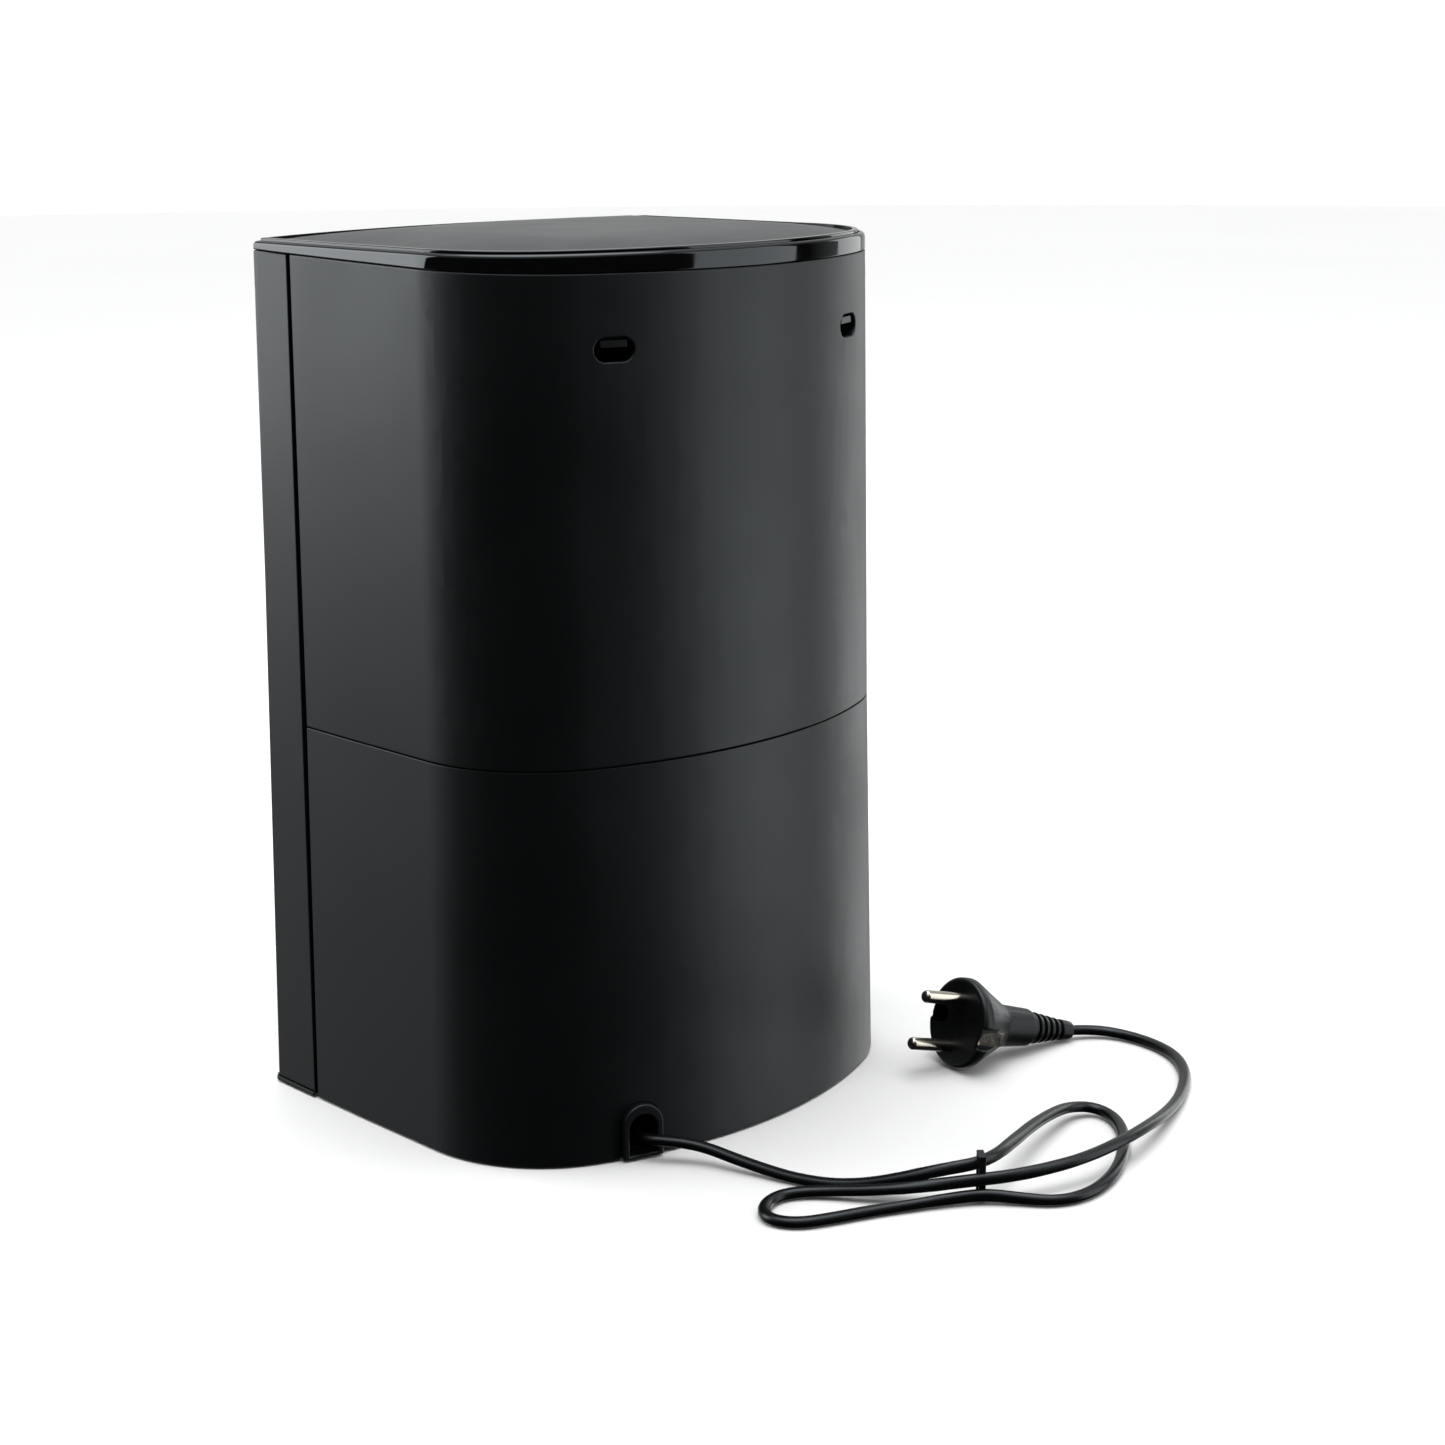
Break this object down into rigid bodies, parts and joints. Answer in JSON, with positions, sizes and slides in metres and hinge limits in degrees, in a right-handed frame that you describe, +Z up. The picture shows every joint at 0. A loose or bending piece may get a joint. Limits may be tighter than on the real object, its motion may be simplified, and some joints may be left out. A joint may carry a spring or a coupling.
{
  "type": "electric can opener",
  "caption": "Tall D-shaped counter-top electric can opener with a motor and gear train, a lever with cutter and lid magnet on the front, and a mains cord tied in a hank.",
  "frame": {"origin": "middle of the footprint of the opener without its cord, on the surface that it stands on", "axes": "+Z up, -Y towards the user at the front with the lever, +X to the right seen from the front"},
  "size_m": [0.2567, 0.3538, 0.3143],
  "materials": {
    "black_abs": "satin",
    "gloss_black": "polished",
    "grey_panel": "fine matte",
    "rubber": "matte",
    "zinc_steel": "brushed",
    "plated_screw": "bright",
    "stainless": "brushed",
    "hard_steel": "ground",
    "bronze": "sintered",
    "acetal": "moulded",
    "lamination": "varnished",
    "copper_winding": "enamelled",
    "fan_plastic": "moulded",
    "plunger_plastic": "moulded",
    "spring_steel": "bright",
    "magnet_nickel": "bright",
    "black_pvc": "satin",
    "nickel": "bright"
  },
  "bodies": {
    "housing": {"base_plate": "black_abs", "base_screws": "plated_screw", "foot_1": "rubber", "foot_2": "rubber", "foot_3": "rubber", "foot_4": "rubber", "lower_rear_shell": "black_abs", "upper_rear_shell": "black_abs", "front_panel": "black_abs", "top_rim": "gloss_black", "top_panel": "grey_panel", "latch_left": "black_abs", "latch_right": "black_abs", "cord_bush": "black_abs", "front_gear_plate": "zinc_steel", "rear_gear_plate": "zinc_steel", "gear_pillars": "zinc_steel", "gear_screws": "plated_screw", "idler_pins": "plated_screw", "output_bushes": "bronze", "motor_stator": "lamination", "motor_coils": "copper_winding", "motor_bridge_front": "zinc_steel", "motor_bridge_rear": "zinc_steel", "motor_bolts": "plated_screw", "head_plate": "stainless", "head_screws": "plated_screw", "can_guide": "stainless", "lever_pivot_pin": "plated_screw", "switch_housing": "fan_plastic", "micro_switch": "fan_plastic", "plunger_spring": "spring_steel", "ballast": "zinc_steel", "terminal_block": "plunger_plastic", "inner_lead": "black_pvc", "mains_cord": "black_pvc", "cord_tie": "black_pvc", "plug_body": "black_pvc", "plug_pins": "nickel", "plug_earth_clips": "nickel", "plug_strain_relief": "black_pvc"},
    "rotor": {"motor_rotor": "lamination", "motor_shaft": "plated_screw", "motor_pinion": "bronze", "cooling_fan": "fan_plastic"},
    "gear_1": {"compound_gear_1": "acetal"},
    "gear_2": {"compound_gear_2": "acetal"},
    "output": {"output_gear": "acetal", "output_shaft": "plated_screw", "drive_wheel": "hard_steel", "drive_wheel_screw": "plated_screw"},
    "lever": {"cutter_lever": "stainless", "lever_grip": "fan_plastic", "cutter_axle": "plated_screw", "magnet_pin": "plated_screw"},
    "cutter": {"cutter_wheel": "hard_steel"},
    "magnet": {"magnet_arm": "stainless", "lid_magnet": "magnet_nickel"},
    "plunger": {"switch_plunger": "plunger_plastic"}
  },
  "joints": [
    {"name": "motor_spin", "type": "hinge", "parent": "housing", "child": "rotor", "pos_m": [0, 0.00613, 0.14413], "axis": [0, -1, 0], "continuous": true},
    {"name": "gear_1_spin", "type": "hinge", "parent": "housing", "child": "gear_1", "pos_m": [0, -0.03787, 0.18288], "axis": [0, -1, 0], "continuous": true},
    {"name": "gear_2_spin", "type": "hinge", "parent": "housing", "child": "gear_2", "pos_m": [0.01937, -0.03787, 0.21644], "axis": [0, -1, 0], "continuous": true},
    {"name": "drive_spin", "type": "hinge", "parent": "housing", "child": "output", "pos_m": [0, -0.05387, 0.25], "axis": [0, -1, 0], "continuous": true},
    {"name": "lever_lift", "type": "hinge", "parent": "housing", "child": "lever", "pos_m": [0.042, -0.07187, 0.266], "axis": [0, 1, 0], "range_deg": [0, 38]},
    {"name": "cutter_spin", "type": "hinge", "parent": "lever", "child": "cutter", "pos_m": [0, -0.07687, 0.2665], "axis": [0, -1, 0], "continuous": true},
    {"name": "magnet_tilt", "type": "hinge", "parent": "lever", "child": "magnet", "pos_m": [0, -0.08187, 0.286], "axis": [-1, 0, 0], "range_deg": [0, 32]},
    {"name": "switch_press", "type": "slide", "parent": "housing", "child": "plunger", "axis": [0, 0, -1], "range_m": [0, 0.002], "stiffness_N_per_m": 400, "springref_m": -0.0008, "deforming": ["plunger_spring"]}
  ],
  "couplings": [
    {"joint": "gear_1_spin", "follows": "motor_spin", "ratio": -0.29167},
    {"joint": "gear_2_spin", "follows": "motor_spin", "ratio": 0.085069},
    {"joint": "drive_spin", "follows": "motor_spin", "ratio": -0.024812}
  ]
}
